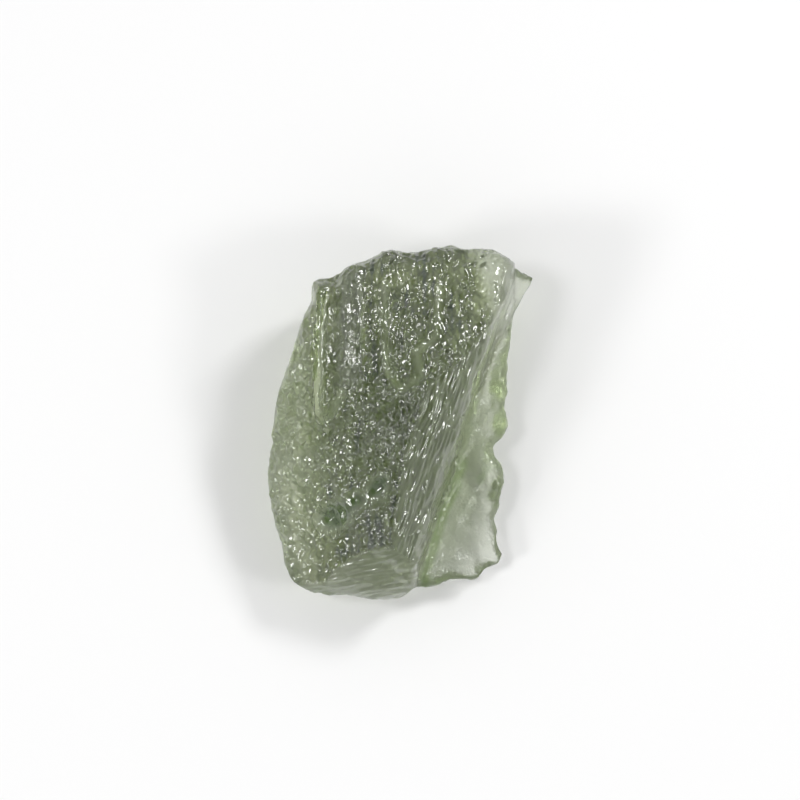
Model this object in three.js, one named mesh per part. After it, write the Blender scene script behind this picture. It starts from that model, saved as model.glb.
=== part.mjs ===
// A rough chip of moldavite: one piece of natural green glass, lying on a small flat spot.
// Millimetres, +Z up. The origin is under the middle of the stone's box, on the surface it lies on.
import * as THREE from "three";
import { ImprovedNoise } from "three/addons/math/ImprovedNoise.js";
import { mergeVertices } from "three/addons/utils/BufferGeometryUtils.js";

const { clamp, degToRad, lerp, smoothstep } = THREE.MathUtils;

// Driving dimensions. The stone is drawn in a face frame: u to the right, v along its length and
// w out of its broad face. That frame leans back from level, so the broad face looks up and forward.
const CREST = 8.8;
const LEAN = degToRad(8);

// Outline of the broad face, clockwise from its upper left corner, as [u, v].
const OUTLINE = [
  [-5.3, 7.65], [-3.7, 8.1], [-2.8, 8.75], [-0.9, 9.5], [-0.2, 9.3], [1.2, 9.4], [2.3, 9.6],
  [3.2, 9.25], [4.1, 9.4], [5.6, 9.0], [6.7, 8.6], [7.4, 8.2], [7.5, 7.5], [6.5, 6.2], [6.1, 4.4],
  [5.8, 2.4], [6.0, 1.2], [5.7, -0.8], [4.95, -1.7], [5.55, -2.5], [5.35, -4.1], [5.3, -6.6],
  [5.65, -8.2], [5.45, -9.25], [3.8, -9.6], [2.3, -9.2], [0.6, -9.5], [-1.4, -10.0], [-3.1, -9.7],
  [-5.8, -9.65], [-6.7, -9.25], [-7.3, -7.6], [-7.45, -6.3], [-7.65, -4.3], [-7.7, -2.6],
  [-7.25, 0.4], [-6.75, 2.4], [-6.1, 4.7], [-5.4, 6.8],
];
const OUTLINE_TENSION = 0.4;
const OUTLINE_STEPS = 160;
const RIM_HEIGHT = 3.2; // the stone is widest here, and draws in below it
const RIM_UNDERCUT = 0.25;
const OUTLINE_SWELL = 0.2; // what rounding the rim takes off the outline

// Broken faces over the stone: a point [u, v, w] on each, the way it falls, and how steeply.
const LEFT_FACES = [
  { on: [0.45, 0, CREST], falls: 180, slope: 11 },
  { on: [-4.95, 0.5, 7.3], falls: 178, slope: 38 },
  { on: [-4.95, -6, 6.4], falls: 218, slope: 33 },
  { on: [0.75, 1.5, 8.75], falls: 47, slope: 14 },
  { on: [-0.45, 8.3, 7.5], falls: 97, slope: 30 },
];
const LEFT_BLEND = 2.2;
const RIDGE_FALL = -20; // the long ridge runs square to this, 20 degrees off the length
const BRINK_FALL = -18; // the brink of the steep flank runs square to this
const RIGHT_FACES = [
  { on: [0.45, 0, CREST], falls: RIDGE_FALL, slope: 36 },
  { on: [2.65, -1.35, 6.95], falls: BRINK_FALL, slope: 84 },
  { on: [-1.95, -7.5, 7.2], falls: 262, slope: 42 },
];
const RIGHT_BLEND = 0.5;
const SHELF_FACES = [
  { on: [4.6, -1.5, 3.0], falls: 15, slope: 5 },
  { on: [1.1, -8.5, 4.2], falls: 200, slope: 50 },
];
const SHELF_BLEND = 0.6;

// Broken faces under the stone, in the level frame: where each leaves the flat spot, and how steeply.
const UNDER_FACES = [
  { on: [-3.0, 0, 0], rises: 180, slope: 28 },
  { on: [3.0, -2, 0], rises: 0, slope: 10 },
  { on: [0, 3.9, 0], rises: 88, slope: 27 },
  { on: [0, -5.8, 0], rises: 268, slope: 14 },
  { on: [2.6, 3.2, 0], rises: 45, slope: 17 },
  { on: [-2.8, -5.0, 0], rises: 222, slope: 19 },
];
const UNDER_BLEND = 1.4;
const EDGE_BLEND = 0.9;

// Grooves down the upper half of the broad face: a line of [u, v, half width], and a depth.
const GROOVES = [
  { line: [[0.2, 10.2, 1.5], [0.15, 5.8, 1.4], [-0.3, 2.7, 0.9]], depth: 0.5 },
  { line: [[-4.35, 7.6, 0.75], [-4.5, 4, 0.85], [-4.6, 0.8, 0.6]], depth: 0.45 },
  { line: [[-2.2, 9.8, 0.7], [-2.1, 5, 0.65], [-1.95, 1.5, 0.6]], depth: 0.25 },
  { line: [[2.5, 10.2, 0.8], [2.4, 7, 0.75], [2.2, 4.6, 0.7]], depth: 0.25 },
  { line: [[4.2, 10.2, 0.8], [3.9, 7.6, 0.75], [3.6, 6.2, 0.7]], depth: 0.2 },
];
const GROOVE_FLOOR = 0.35; // share of the half width before the wall starts to rise
// Smooth hollows in the lower half: [u, v, radius, depth].
const HOLLOWS = [
  [-4.15, -5.3, 1.2, 0.45], [-2.85, -4.4, 0.7, 0.3], [-1.75, -3.9, 0.9, 0.35],
  [-5.65, -4.4, 0.9, 0.3], [-3.45, -7.1, 1.0, 0.3], [-5.85, -7.1, 0.8, 0.25],
  [-2.65, -0.7, 1.1, 0.25], [-5.35, -1.1, 1.0, 0.3],
];
const HOLLOW_FLOOR = 0.2;

// Skin relief: long swells, short swells, and pits. Each cell of a lattice holds one pit, off its
// middle by chance.
const SWELLS = [
  { size: 4.2, height: 0.3 },
  { size: 1.7, height: 0.12 },
];
const PIT_CELL = 1.4;
const PIT_RADIUS = 0.95;
const PIT_DEPTH = 0.2;
const PIT_STRAY = 1.1; // share of a cell
const PIT_CHANCE_STEP = 0.37; // keeps the chance off the noise's zeros at whole numbers

const MESH_DETAIL = 21;
// The stone is a ball of triangles blown up from a flat core inside it. The core's half widths grow
// together at fixed rates, so each corner runs out along its own straight line and no two lines meet.
const CORE_REACH = new THREE.Vector3(4.4, 6.6, 0.2);
const CORE_GROWTH = new THREE.Vector3(1, 1, 2.5);
const CORE_LEAN = new THREE.Euler(degToRad(11), degToRad(5), 0);
const CORE_MIDDLE = new THREE.Vector3(-0.7, -0.4, 2.3);
const FARTHEST = 9;
const MARCH_STEP = 0.2;
const MARCH_SHARE = 0.5; // of the distance still to go
const HALVINGS = 16;
const FLAT_TOLERANCE = 0.001;
const NEIGHBOURS = [-1, 0, 1].flatMap((i) =>
  [-1, 0, 1].flatMap((j) => [-1, 0, 1].map((k) => new THREE.Vector3(i, j, k))),
);

const GLASS = new THREE.MeshStandardMaterial({ color: 0x5d6b4c, roughness: 0.35, metalness: 0 });

const noise = new ImprovedNoise();
const corePlace = new THREE.Matrix4().makeRotationFromEuler(CORE_LEAN).setPosition(CORE_MIDDLE);
const outline = new THREE.CatmullRomCurve3(
  OUTLINE.map(([u, v]) => new THREE.Vector3(u, v, 0)), true, "catmullrom", OUTLINE_TENSION,
).getPoints(OUTLINE_STEPS).map(({ x, y }) => [x, y]);

// Largest of two distances, with the corner between them rounded over blend.
function roundMax(a, b, blend) {
  const near = Math.max(blend - Math.abs(a - b), 0);
  return Math.max(a, b) + (near * near) / (4 * blend);
}

const roundMin = (a, b, blend) => -roundMax(-a, -b, blend);
const roundMaxOf = (distances, blend) => distances.reduce((a, b) => roundMax(a, b, blend));

// Height of a point above a plane through a given point, falling a given way in degrees.
function abovePlane(point, { on, falls, slope }) {
  const steep = degToRad(slope);
  const way = degToRad(falls);
  const [x, y, z] = on;
  return (
    Math.sin(steep) * (Math.cos(way) * (point.x - x) + Math.sin(way) * (point.y - y)) +
    Math.cos(steep) * (point.z - z)
  );
}

// Depth of a point below a plane that rises a given way in degrees.
function belowPlane(point, { on, rises, slope }) {
  const mirrored = new THREE.Vector3(point.x, point.y, -point.z);
  return abovePlane(mirrored, { on: [on[0], on[1], -on[2]], falls: rises, slope });
}

// Share of the way from a to b at which that straight line passes nearest to a point.
function shareAlong(u, v, [au, av], [bu, bv]) {
  const share = ((u - au) * (bu - au) + (v - av) * (bv - av)) / ((bu - au) ** 2 + (bv - av) ** 2);
  return clamp(share, 0, 1);
}

// Distance outside the outline, negative inside it.
function outsideOutline(u, v) {
  let nearest = Infinity;
  let inside = false;
  for (let i = 0; i < OUTLINE_STEPS; i++) {
    const [au, av] = outline[i];
    const [bu, bv] = outline[i + 1];
    const share = shareAlong(u, v, outline[i], outline[i + 1]);
    nearest = Math.min(nearest, Math.hypot(u - lerp(au, bu, share), v - lerp(av, bv, share)));
    const spans = av > v !== bv > v;
    if (spans && u < au + ((v - av) / (bv - av)) * (bu - au)) inside = !inside;
  }
  return inside ? -nearest : nearest;
}

// Depth of one groove at a point of the broad face: a flat floor, steep walls and a round tip.
function grooveDepth(u, v, { line, depth }) {
  let closest = Infinity;
  for (let i = 0; i + 1 < line.length; i++) {
    const [au, av, aHalf] = line[i];
    const [bu, bv, bHalf] = line[i + 1];
    const share = shareAlong(u, v, line[i], line[i + 1]);
    const away = Math.hypot(u - lerp(au, bu, share), v - lerp(av, bv, share));
    closest = Math.min(closest, away / lerp(aHalf, bHalf, share));
  }
  return depth * (1 - smoothstep(closest, GROOVE_FLOOR, 1));
}

function hollowDepth(u, v, [hu, hv, radius, depth]) {
  return depth * (1 - smoothstep(Math.hypot(u - hu, v - hv) / radius, HOLLOW_FLOOR, 1));
}

// Distance outside the broad face and the flank beside it, in the face frame.
function outsideTop(point) {
  const carved =
    GROOVES.reduce((sum, groove) => sum + grooveDepth(point.x, point.y, groove), 0) +
    HOLLOWS.reduce((sum, hollow) => sum + hollowDepth(point.x, point.y, hollow), 0);
  const above = (faces) => faces.map((face) => abovePlane(point, face));
  const left = roundMaxOf(above(LEFT_FACES), LEFT_BLEND);
  const body = roundMaxOf([left + carved, ...above(RIGHT_FACES)], RIGHT_BLEND);
  const shelf = roundMaxOf(above(SHELF_FACES), SHELF_BLEND);
  return roundMin(body, shelf, SHELF_BLEND);
}

// Middle of the pit that a lattice cell holds.
function pitCentre(cell) {
  const [x, y, z] = cell.toArray().map((place) => place + PIT_CHANCE_STEP);
  const stray = new THREE.Vector3(noise.noise(x, y, z), noise.noise(y, z, -x), noise.noise(-z, x, y));
  return stray.multiplyScalar(PIT_STRAY).addScalar(0.5).add(cell).multiplyScalar(PIT_CELL);
}

function pitDepth(point) {
  const cell = point.clone().divideScalar(PIT_CELL).floor();
  const nearest = NEIGHBOURS.reduce(
    (least, step) => Math.min(least, point.distanceTo(pitCentre(step.clone().add(cell)))),
    Infinity,
  );
  return PIT_DEPTH * (1 - smoothstep(nearest / PIT_RADIUS, 0, 1));
}

// Distance outside the rough stone, in the level frame.
function outsideStone(point) {
  const face = point.clone().applyAxisAngle(new THREE.Vector3(1, 0, 0), -LEAN);
  const drawnIn = RIM_UNDERCUT * Math.max(0, RIM_HEIGHT - face.z);
  const wall = outsideOutline(face.x, face.y) - OUTLINE_SWELL + drawnIn;
  const under = roundMaxOf(UNDER_FACES.map((plane) => belowPlane(point, plane)), UNDER_BLEND);
  const shell = roundMaxOf([outsideTop(face), wall, under], EDGE_BLEND);
  const swell = SWELLS.reduce(
    (sum, { size, height }) =>
      sum + height * noise.noise(point.x / size + size, point.y / size, point.z / size),
    0,
  );
  return Math.max(shell + swell + pitDepth(point), -point.z);
}

// The line along which one corner of the unit ball runs out from the core.
function lineFromCore(corner) {
  const start = corner.clone().multiply(CORE_REACH);
  const way = corner.clone().multiply(CORE_GROWTH).normalize();
  return new THREE.Ray(start, way).applyMatrix4(corePlace);
}

// The outermost point of the stone along a line.
function skinPoint(line) {
  const at = (distance) => line.at(distance, new THREE.Vector3());
  let outside = FARTHEST;
  let inside = FARTHEST;
  let gap = outsideStone(at(inside));
  while (inside > 0 && gap > 0) {
    outside = inside;
    inside -= Math.max(MARCH_STEP, MARCH_SHARE * gap);
    gap = outsideStone(at(inside));
  }
  for (let i = 0; i < HALVINGS; i++) {
    const middle = (inside + outside) / 2;
    if (outsideStone(at(middle)) > 0) outside = middle;
    else inside = middle;
  }
  return at(inside);
}

// A fine ball of triangles, each corner moved out to the skin.
function stoneGeometry() {
  const ball = new THREE.IcosahedronGeometry(1, MESH_DETAIL);
  ball.deleteAttribute("normal");
  ball.deleteAttribute("uv");
  const geometry = mergeVertices(ball);
  const corners = geometry.getAttribute("position");
  for (let i = 0; i < corners.count; i++) {
    const point = skinPoint(lineFromCore(new THREE.Vector3().fromBufferAttribute(corners, i)));
    if (point.z < FLAT_TOLERANCE) point.z = 0;
    corners.setXYZ(i, point.x, point.y, point.z);
  }
  geometry.computeVertexNormals();
  return geometry;
}

const stone = new THREE.Mesh(stoneGeometry(), GLASS);
stone.name = "moldavite";
stone.geometry.computeBoundingBox();
const middle = stone.geometry.boundingBox.getCenter(new THREE.Vector3());
stone.position.set(-middle.x, -middle.y, 0);

const moldavite = new THREE.Group();
moldavite.add(stone);
export default moldavite;
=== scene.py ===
"""Looks of a rough chip of moldavite: clear olive-green glass with an etched skin, on a pale floor."""
import math

import bmesh
import bpy
import numpy as np
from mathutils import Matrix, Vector, kdtree, noise


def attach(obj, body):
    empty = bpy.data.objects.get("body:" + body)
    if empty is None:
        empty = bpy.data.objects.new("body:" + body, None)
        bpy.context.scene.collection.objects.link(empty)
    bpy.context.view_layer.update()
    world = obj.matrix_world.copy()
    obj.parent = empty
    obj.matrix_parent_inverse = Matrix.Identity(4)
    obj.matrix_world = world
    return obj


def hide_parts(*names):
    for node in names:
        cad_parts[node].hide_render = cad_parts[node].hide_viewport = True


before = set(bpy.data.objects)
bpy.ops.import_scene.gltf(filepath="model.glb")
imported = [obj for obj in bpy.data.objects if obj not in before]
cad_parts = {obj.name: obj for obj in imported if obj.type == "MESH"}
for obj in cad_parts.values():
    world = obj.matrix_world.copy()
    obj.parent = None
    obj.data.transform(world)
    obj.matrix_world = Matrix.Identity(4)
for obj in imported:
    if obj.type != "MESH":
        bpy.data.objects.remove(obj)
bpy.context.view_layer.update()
scene = bpy.context.scene
rng = np.random.default_rng(7)

MM = 0.001

# Camera, from the photo: 20 mm of stone fills 354 of its 800 pixels.
PIXEL = 20 / 354 * MM
IMAGE = 800
AIM = Vector((-0.1, 0, 4)) * MM
AIM_ROW = 423
DISTANCE = 220 * MM
ELEVATION = math.radians(82)
SENSOR = 36
NEAREST_SEEN = 10 * MM

# Places on the broad face, in millimetres as the photo shows them: u to the right, v upwards.
RIDGE = [
    (0.3, -8.0), (-0.5, -6.9), (-0.35, -5.3), (0.0, -3.3), (0.3, -1.7), (0.9, 0.0),
    (1.6, 2.15), (3.6, 3.7), (4.8, 5.25), (5.5, 6.95), (5.9, 9.1),
]
BRINK = [
    (0.9, -9.3), (1.25, -7.85), (1.65, -6.45), (2.05, -5.0), (2.5, -4.2), (3.0, -2.6), (3.3, -1.35),
    (3.45, 0.25), (4.05, 1.2), (4.75, 2.45), (5.4, 4.35), (6.5, 5.95),
]
END_FACET = [(-4.25, -9.0), (-3.55, -8.15), (-2.25, -7.3), (-0.55, -7.0), (0.85, -7.85)]
CHANNELS = [
    [(-4.4, 7.2), (-4.6, 2.7), (-4.65, 0.9), (-4.4, 0.25), (-3.9, 0.7), (-3.35, 1.75)],
    [
        (-0.85, 7.8), (-0.9, 5.7), (-0.7, 3.0), (0.1, 1.95), (1.15, 2.7), (0.9, 4.0), (2.1, 5.0),
        (2.25, 7.5),
    ],
]
CHANNEL_WIDTH = 0.24
# Smooth windows, dark green partly by the glass's own depth and partly by painted shade: u, v and radius.
WINDOWS = [
    (-3.9, -5.4, 0.75), (-3.3, -5.0, 0.7), (-2.45, -4.35, 0.5), (-1.4, -3.8, 0.6), (-1.0, -3.3, 0.4),
]
# A ridge whose grey sheen is painted into the colour: its line in u, v, and its width.
SHEEN_RIDGE = [(-2.75, 8.0), (-2.7, 5.0), (-2.8, 2.6)]
SHEEN_RIDGE_WIDTH = 0.65

# Soft edges of those places: where each starts to show, and where it is full.
UP_EDGE = (0.0, 0.35)  # cosine of the angle between the skin's normal and the way to the camera
RIDGE_EDGE = (-0.1, 0.15)
BRINK_EDGE = (-0.1, 0.1)
SHELF_EDGE = (0.0, 0.3)
END_EDGE = (-0.1, 0.15)
END_RIGHT_EDGE = (-1.2, -0.8)

# Relief: sizes and heights in millimetres, and strays as shares of a cell.
STONE_ROUNDS = 6
SHELF_ROUNDS = 20
FINE_CELL, FINE_STRAY = 0.27, 0.45
COARSE_CELL, COARSE_STRAY = 0.6, 0.5
HAIR_CELL, HAIR_STRAY = 0.2, 0.45
HAIR_STRETCH, HAIR_SHEAR = 0.1, 0.1
HAIR_WAVER = 0.12
SLANT = math.radians(20)
END_SLANT = math.radians(12)
FINE_BOWL, FINE_LEAN = 0.04, 0.27
COARSE_BOWL, COARSE_LEAN = 0.06, 0.22
HAIR_BOWL, HAIR_LEAN = 0.06, 0.08
END_BOWL, END_LEAN = 0.05, 0.05
SHELF_BOWL = 0.03
FLOW_HEIGHT, PALE_FLOW_HEIGHT = 0.03, 0.05
CHANNEL_DEPTH = 0.16
TIP_HEIGHT = 0.02  # how far a point may stand above its neighbours
TIP_ROUNDS = 5
DEEPEST = -0.4
RIM_HIGHEST, FACE_HIGHEST = 0.05, 0.3

# Tints of the skin, and the powers by which its red, green and blue fall where it darkens.
DARKENING = (1.0, 0.88, 1.5)
DARKEST = 0.97
LEAST_TONE = 0.03
PALE_GLASS = (0.97, 1.0, 0.9)
BRINK_GREEN = (0.5, 0.66, 0.3)
# Painted shade: green blotches on the shelf that stand in for its undulations.
BLOTCH_SHADE_GREEN = (0.5, 0.66, 0.34)
# Painted sheen: grey on the sheen ridge and on the band.
SHEEN_GREY = (0.3, 0.31, 0.28)
# Painted sheen: a lighter grey on the end facet.
END_SHEEN_GREY = (0.5, 0.5, 0.46)
# Painted shade: the middle of the broad face darker and greyer.
MIDDLE_SHADE = (0.05, 0.06, 0.04)
# Dark green of the windows: partly the glass's own deep green, partly painted shade.
WINDOW_DEPTH_AND_SHADE = (0.07, 0.14, 0.02)

# Glass.
GLASS_IOR = 1.5
LUSTRE_IOR = 1.8
LUSTRE_ROUGHNESS = 0.1
HAZE = 0.285
DEPTH_COLOUR = (0.585, 0.68, 0.39, 1)
DEPTH_DENSITY = 110
BUMP_HEIGHT = 0.06 * MM
FROST_SCALE = 6000
GRAIN_WIDTH, GRAIN_LENGTH = 0.3, 2.5

# Light: the tent's brightness from the horizon to overhead, and how far off the soft boxes are.
TENT = [(0.0, 0.65), (0.42, 0.65), (0.57, 1.05), (0.82, 0.95), (0.95, 0.15)]
TENT_STRENGTH = 0.66
BOX_DISTANCE = 0.35
FLOOR_REACH = 1
FLOOR_LEVEL = -1e-5


def way(azimuth, elevation):
    """Unit vector towards a bearing in degrees, counted from +X towards +Y, and a height in degrees."""
    a, e = math.radians(azimuth), math.radians(elevation)
    return Vector((math.cos(a) * math.cos(e), math.sin(a) * math.cos(e), math.sin(e)))


def add(name, data):
    thing = bpy.data.objects.new(name, data)
    scene.collection.objects.link(thing)
    return thing


TO_CAMERA = way(-90, math.degrees(ELEVATION))
lens = bpy.data.cameras.new("camera")
lens.sensor_width = SENSOR
lens.lens = SENSOR * DISTANCE / (IMAGE * PIXEL)
lens.shift_y = (AIM_ROW - IMAGE / 2) / IMAGE
lens.clip_start = NEAREST_SEEN
camera = add("camera", lens)
camera.location = AIM + TO_CAMERA * DISTANCE
camera.rotation_euler = TO_CAMERA.to_track_quat("Z", "Y").to_euler()
scene.camera = camera
scene.view_settings.view_transform = "Standard"


def fine_mesh(node):
    """The CAD stone, welded and divided, finest on the side that faces up."""
    mesh = bmesh.new()
    mesh.from_mesh(node.data)
    bmesh.ops.remove_doubles(mesh, verts=mesh.verts, dist=1e-6)
    bmesh.ops.subdivide_edges(mesh, edges=mesh.edges, cuts=2, use_grid_fill=True)
    mesh.normal_update()
    top = {edge for face in mesh.faces if face.normal.z > 0.3 for edge in face.edges}
    bmesh.ops.subdivide_edges(mesh, edges=list(top), cuts=1, use_grid_fill=True)
    bmesh.ops.triangulate(mesh, faces=mesh.faces)
    data = bpy.data.meshes.new("stone")
    mesh.to_mesh(data)
    mesh.free()
    return data


def read(items, name, width):
    values = np.zeros(len(items) * width)
    items.foreach_get(name, values)
    return values.reshape(-1, width)


def beside(values, edges):
    """Mean of the values at each point's neighbours."""
    total = np.bincount(edges[:, 0], values[edges[:, 1]], len(values))
    total += np.bincount(edges[:, 1], values[edges[:, 0]], len(values))
    return total / np.bincount(edges.ravel(), minlength=len(values))


def relax(points, edges, rounds, held):
    """Rounds off the facets: each step in is followed by a step out, so the stone doesn't shrink."""
    for i in range(2 * rounds):
        mean = np.stack([beside(points[:, axis], edges) for axis in range(3)], 1)
        step = (mean - points) * (0.5 if i % 2 == 0 else -0.52)
        points = points + np.where(held[:, None], 0, step)
    return points


def ease(values, low, high):
    """0 below low, 1 above high, and a smooth rise between."""
    share = np.clip((values - low) / (high - low), 0, 1)
    return share * share * (3 - 2 * share)


def noise_at(*axes):
    return np.array([noise.noise(place) for place in zip(*axes)])


def away_from(u, v, line):
    """Distance from each point to a line of [u, v] points."""
    nearest = np.full(len(u), np.inf)
    for (au, av), (bu, bv) in zip(line, line[1:]):
        length = (bu - au) ** 2 + (bv - av) ** 2
        share = np.clip(((u - au) * (bu - au) + (v - av) * (bv - av)) / length, 0, 1)
        nearest = np.minimum(nearest, np.hypot(u - au - share * (bu - au), v - av - share * (bv - av)))
    return nearest


def cells(points, size, stray):
    """Etched cells: bowls that are 0 on the floor and 1 on the crest, and facets that lean by chance."""
    low, high = points.min(axis=0) - size, points.max(axis=0) + size
    steps = [np.arange(a, b, size) for a, b in zip(low, high)]
    grid = np.stack(np.meshgrid(*steps), -1).reshape(-1, 3)
    seeds = grid + rng.uniform(-stray, stray, grid.shape) * size
    leans = rng.uniform(-1, 1, grid.shape) / size
    tree = kdtree.KDTree(len(seeds))
    for i, seed in enumerate(seeds):
        tree.insert(seed, i)
    tree.balance()
    found = [tree.find(point) for point in points]
    nearest = np.array([i for _, i, _ in found])
    bowl = np.clip(np.array([gap for _, _, gap in found]) / (0.75 * size), 0, 1) ** 2
    return bowl, ((points - seeds[nearest]) * leans[nearest]).sum(axis=1)


def hairs(side, length):
    """Long thin cells beside each other, wavering a little."""
    places = [side + HAIR_WAVER * waver, length * HAIR_STRETCH + HAIR_SHEAR * side, none]
    return cells(np.stack(places, 1), HAIR_CELL, HAIR_STRAY)


# The stone's smooth skin, in millimetres, and each point's place in the photo.
mesh = fine_mesh(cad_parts["moldavite"])
edges = np.zeros(len(mesh.edges) * 2, np.int32)
mesh.edges.foreach_get("vertices", edges)
edges = edges.reshape(-1, 2)
skin = read(mesh.vertices, "co", 3) / MM
on_floor = skin[:, 2] < 1e-3
skin = relax(skin, edges, STONE_ROUNDS, on_floor)
mesh.vertices.foreach_set("co", (skin * MM).ravel())
mesh.update()
outward = read(mesh.vertex_normals, "vector", 3)

from_aim = skin - np.array(AIM) / MM
toward = from_aim @ np.array(TO_CAMERA)
nearer = DISTANCE / MM / (DISTANCE / MM - toward)
u = from_aim[:, 0] * nearer
v = (from_aim[:, 1] * math.sin(ELEVATION) + from_aim[:, 2] * math.cos(ELEVATION)) * nearer
none = 0 * u

# How much each point belongs to each place, from 0 to 1.
up = ease(outward @ np.array(TO_CAMERA), *UP_EDGE)
down = -outward[:, 2]
past_ridge = u - np.interp(v, *np.array(RIDGE).T[::-1])
past_brink = u - np.interp(v, *np.array(BRINK).T[::-1])
below_end = np.interp(u, *np.array(END_FACET).T) - v
end = up * ease(below_end, *END_EDGE) * ease(-u, *END_RIGHT_EDGE)
band = up * ease(past_ridge, *RIDGE_EDGE) * ease(-past_brink, *BRINK_EDGE) * (1 - end)
shelf = up * ease(past_brink, *SHELF_EDGE)
channel = up * sum(np.exp(-(away_from(u, v, line) / CHANNEL_WIDTH) ** 2) for line in CHANNELS)
window = up * np.minimum(1, sum(np.exp(-((np.hypot(u - a, v - b) / r) ** 3)) for a, b, r in WINDOWS))
sheen_ridge = up * np.exp(-((away_from(u, v, SHEEN_RIDGE) / SHEEN_RIDGE_WIDTH) ** 4)) * (1 - channel)
plain = np.clip(1 - band - shelf - end, 0, 1) * np.clip(1 - channel - window - 0.7 * sheen_ridge, 0, 1)
pale = ease(u + 0.3 * (v - 7), 4.2, 5.6) * ease(v, 3.0, 5.0)

# The relief is strongest in the middle, and weaker at the grooved end, on the sides and underneath.
middle = np.exp(-(((u - 0.2) / 2.2) ** 2) - ((v - 0.5) / 3.5) ** 2)
busy = (1 - 0.45 * ease(v, 1.5, 4.5) + 0.5 * middle) * (0.35 + 0.65 * up)
busy = busy * (1 - 0.75 * ease(down, 0.1, 0.5))
busy = busy * (0.85 + 0.6 * noise_at(u / 1.3, v / 1.6, none + 11))

# Relief: facets on the broad face, hair lines on the band and the end facet, and two channels.
across = u * math.cos(SLANT) - v * math.sin(SLANT)
along = u * math.sin(SLANT) + v * math.cos(SLANT)
end_across = v * math.cos(END_SLANT) - u * math.sin(END_SLANT)
waver = noise_at(u / 1.5, v / 1.5, skin[:, 2] / 1.5)
skin = relax(skin, edges, SHELF_ROUNDS, on_floor | (shelf < 0.5))
flow = noise_at(u / 0.25, v / 2.5, skin[:, 2] / 2.5)
drawn = np.stack([skin[:, 0], np.where(v < 1, 0.85 * v, 0.85 + 0.7 * (v - 1)), skin[:, 2]], 1)
fine, fine_facet = cells(drawn, FINE_CELL, FINE_STRAY)
hair, hair_facet = hairs(across, along)
end_hair, end_facet = hairs(end_across, u)
coarse, coarse_facet = cells(drawn, COARSE_CELL, COARSE_STRAY)
etched = (
    FINE_BOWL * (fine - 1) + FINE_LEAN * fine_facet
    + COARSE_BOWL * (coarse - 1) + COARSE_LEAN * coarse_facet
)
rise = (
    plain * busy * etched
    + (plain + sheen_ridge) * (FLOW_HEIGHT + PALE_FLOW_HEIGHT * pale) * flow
    + band * (HAIR_BOWL * hair + HAIR_LEAN * hair_facet)
    + end * (END_BOWL * end_hair + END_LEAN * end_facet)
    + shelf * SHELF_BOWL * (coarse - 1)
    - CHANNEL_DEPTH * channel
)
# Pointed tips come off, and the leaning facets stay: a point in a plane is level with its neighbours.
for _ in range(TIP_ROUNDS):
    rise = np.minimum(rise, beside(rise, edges) + TIP_HEIGHT)
rise = np.clip(rise, DEEPEST, RIM_HIGHEST + FACE_HIGHEST * up)
skin = skin + np.where(on_floor, 0, rise)[:, None] * outward
skin[:, 2] = np.maximum(skin[:, 2], 0)
mesh.vertices.foreach_set("co", (skin * MM).ravel())
mesh.polygons.foreach_set("use_smooth", [True] * len(mesh.polygons))
mesh.update()


def layer(name, values):
    mesh.attributes.new(name, "FLOAT", "POINT").data.foreach_set("value", values.astype(np.float32))


# Tone: dark where the skin is etched, then tinted place by place.
mottle = 0.5 + 0.5 * noise_at(u / 1.4, v / 1.4, skin[:, 2] / 1.4) + 0.3 * noise_at(u / 0.5, v / 0.5, none)
face_dark = 0.97 - 0.2 * mottle + 0.12 * flow + 0.05 * ease(-v, 3, 5) - 0.35 * ease(-u, 3.5, 6.5)
dark = (
    np.clip(plain + sheen_ridge, 0, 1) * up * face_dark
    # Painted sheen: the crests of the hair lines on the band and the end facet are lighter.
    + band * (0.85 - 0.4 * hair)
    + end * (0.7 - 0.4 * end_hair)
)
dark = np.clip(dark + 0.4 * channel, 0, DARKEST) * (1 - 0.85 * pale)
tone = (1 - dark[:, None]) ** np.array([DARKENING])
# Blotches of painted shade on the shelf top, standing in for the undulations of its surface.
shade_blotch = ease(noise_at(u / 0.9, v / 0.9, none + 3), -0.1, 0.35)
block_top = np.exp(-(((v + 2.9) / 0.9) ** 2))
# Painted shade: the middle of the broad face is darker and greyer.
shaded_middle = np.exp(-(((u - 0.2) / 2) ** 2) - (v / 3) ** 2)
tints = [
    (shelf, PALE_GLASS),
    (shelf * ease(-past_brink, -0.9, -0.5) * ease(-v, 1.5, 2.5), BRINK_GREEN),
    (0.6 * shelf * shade_blotch * block_top, BLOTCH_SHADE_GREEN),
    # Painted sheen: grey on the sheen ridge and on the band.
    (0.5 * sheen_ridge + 0.4 * band, SHEEN_GREY),
    # Painted sheen: a lighter grey on the end facet.
    (0.4 * end, END_SHEEN_GREY),
    (0.6 * plain * up * shaded_middle, MIDDLE_SHADE),
    # The windows' dark green: partly the glass's own deep green, partly painted shade.
    (window, WINDOW_DEPTH_AND_SHADE),
]
for share, tint in tints:
    tone = tone + np.clip(share, 0, 1)[:, None] * (np.array(tint) - tone)
colour = np.concatenate([np.clip(tone, LEAST_TONE, 1), np.ones((len(tone), 1))], 1)
tones = mesh.attributes.new("tone", "FLOAT_COLOR", "POINT")
tones.data.foreach_set("color", colour.astype(np.float32).ravel())

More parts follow.
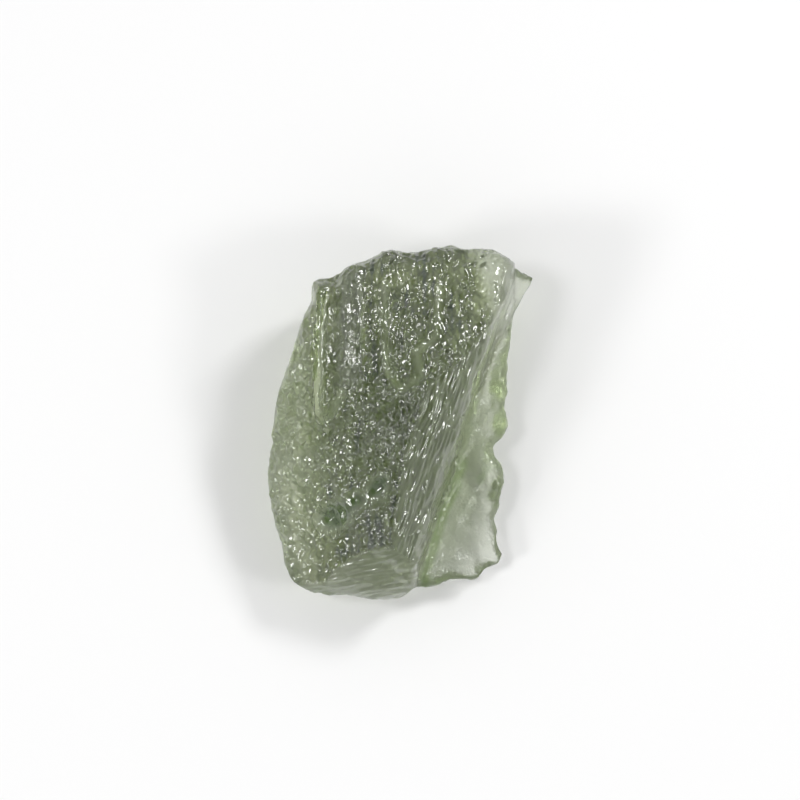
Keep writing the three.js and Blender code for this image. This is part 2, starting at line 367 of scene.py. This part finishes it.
# Finish: how hazy, brushed, frosted and lustrous the skin is, and which way its grain runs.
layer("haze", HAZE + 0.03 * (band + end) + 0.1 * sheen_ridge - 0.15 * np.clip(window + channel, 0, 1))
layer("brush", np.clip(band + end + 0.7 * sheen_ridge + 0.3 * plain, 0, 1))
layer("frost", 0.04 + 0.15 * plain + 0.2 * sheen_ridge + 0.3 * shelf)
layer("lustre", np.clip(0.2 + 0.8 * up - 0.85 * shelf, 0, 1) * (1 - ease(down, 0, 0.4)))
side = np.where(band > 0.5, across, np.where(end > 0.5, end_across + 40, u + 80))
length = np.where(band > 0.5, along, np.where(end > 0.5, u, v))
grain = np.stack([side / GRAIN_WIDTH, length / GRAIN_LENGTH, none], 1)
grains = mesh.attributes.new("grain", "FLOAT_VECTOR", "POINT")
grains.data.foreach_set("vector", grain.astype(np.float32).ravel())


def attribute(nodes, name):
    node = nodes.new("ShaderNodeAttribute")
    node.attribute_name = name
    return node


def skin_bump(nodes, links):
    """Fine bump: ridges along the grain, and frost."""
    hair = nodes.new("ShaderNodeTexNoise")
    hair.noise_type = "RIDGED_MULTIFRACTAL"
    hair.inputs["Scale"].default_value = 1
    hair.inputs["Detail"].default_value = 1
    links.new(attribute(nodes, "grain").outputs["Vector"], hair.inputs["Vector"])
    brushed = nodes.new("ShaderNodeMath")
    brushed.operation = "MULTIPLY"
    links.new(hair.outputs["Fac"], brushed.inputs[0])
    links.new(attribute(nodes, "brush").outputs["Fac"], brushed.inputs[1])
    place = nodes.new("ShaderNodeTexCoord")
    frost = nodes.new("ShaderNodeTexVoronoi")
    frost.inputs["Scale"].default_value = FROST_SCALE
    links.new(place.outputs["Object"], frost.inputs["Vector"])
    heights = nodes.new("ShaderNodeMath")
    heights.operation = "MULTIPLY_ADD"
    links.new(frost.outputs["Distance"], heights.inputs[0])
    links.new(attribute(nodes, "frost").outputs["Fac"], heights.inputs[1])
    links.new(brushed.outputs["Value"], heights.inputs[2])
    bump = nodes.new("ShaderNodeBump")
    bump.inputs["Strength"].default_value = 1.0
    bump.inputs["Distance"].default_value = BUMP_HEIGHT
    links.new(heights.outputs["Value"], bump.inputs["Height"])
    return bump


def glass():
    """Clear olive-green glass whose skin is smoother or hazier from place to place."""
    material = bpy.data.materials.new("moldavite_glass")
    material.use_nodes = True
    nodes, links = material.node_tree.nodes, material.node_tree.links
    shader = nodes["Principled BSDF"]
    shader.inputs["IOR"].default_value = GLASS_IOR
    shader.inputs["Transmission Weight"].default_value = 1.0
    shader.inputs["Coat Weight"].default_value = 1.0
    shader.inputs["Coat IOR"].default_value = LUSTRE_IOR
    shader.inputs["Coat Roughness"].default_value = LUSTRE_ROUGHNESS
    links.new(attribute(nodes, "haze").outputs["Fac"], shader.inputs["Roughness"])
    links.new(attribute(nodes, "tone").outputs["Color"], shader.inputs["Base Color"])
    links.new(attribute(nodes, "lustre").outputs["Fac"], shader.inputs["Coat Weight"])
    bump = skin_bump(nodes, links)
    links.new(bump.outputs["Normal"], shader.inputs["Normal"])
    links.new(bump.outputs["Normal"], shader.inputs["Coat Normal"])
    depth = nodes.new("ShaderNodeVolumeAbsorption")
    depth.inputs["Color"].default_value = DEPTH_COLOUR
    depth.inputs["Density"].default_value = DEPTH_DENSITY
    links.new(depth.outputs["Volume"], nodes["Material Output"].inputs["Volume"])
    return material


stone = add("stone", mesh)
mesh.materials.append(glass())
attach(stone, "root")
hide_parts("moldavite")


def paper():
    material = bpy.data.materials.new("paper")
    material.use_nodes = True
    shader = material.node_tree.nodes["Principled BSDF"]
    shader.inputs["Base Color"].default_value = (0.9, 0.9, 0.9, 1)
    shader.inputs["Roughness"].default_value = 0.9
    return material


# Pale floor, a bright tent of light that is dimmer overhead, and four soft boxes.
sheet = bpy.data.meshes.new("floor")
corners = [(-1, -1), (1, -1), (1, 1), (-1, 1)]
sheet.from_pydata([(x * FLOOR_REACH, y * FLOOR_REACH, FLOOR_LEVEL) for x, y in corners], [], [(0, 1, 2, 3)])
floor = add("floor", sheet)
sheet.materials.append(paper())


def tent():
    world = bpy.data.worlds.new("tent")
    world.use_nodes = True
    nodes, links = world.node_tree.nodes, world.node_tree.links
    facing = nodes.new("ShaderNodeTexCoord")
    split = nodes.new("ShaderNodeSeparateXYZ")
    links.new(facing.outputs["Generated"], split.inputs["Vector"])
    ramp = nodes.new("ShaderNodeValToRGB")
    stops = ramp.color_ramp.elements
    stops[-1].position = TENT[-1][0]
    for place, _ in TENT[1:-1]:
        stops.new(place)
    for stop, (_, light) in zip(stops, TENT):
        stop.color = (light, light, light, 1)
    links.new(split.outputs["Z"], ramp.inputs["Fac"])
    links.new(ramp.outputs["Color"], nodes["Background"].inputs["Color"])
    nodes["Background"].inputs["Strength"].default_value = TENT_STRENGTH
    return world


def soft_box(name, azimuth, elevation, size, power):
    light = bpy.data.lights.new(name, "AREA")
    light.size = size
    light.energy = power
    box = add(name, light)
    towards = way(azimuth, elevation)
    box.location = towards * BOX_DISTANCE
    box.rotation_euler = towards.to_track_quat("Z", "Y").to_euler()


scene.world = tent()
soft_box("key_light", 39, 45, 0.075, 0.38)
soft_box("fill_light", 204, 40, 0.075, 0.28)
soft_box("side_light", -20, 42, 0.07, 0.2)
soft_box("top_light", 180, 66, 0.06, 0.2)
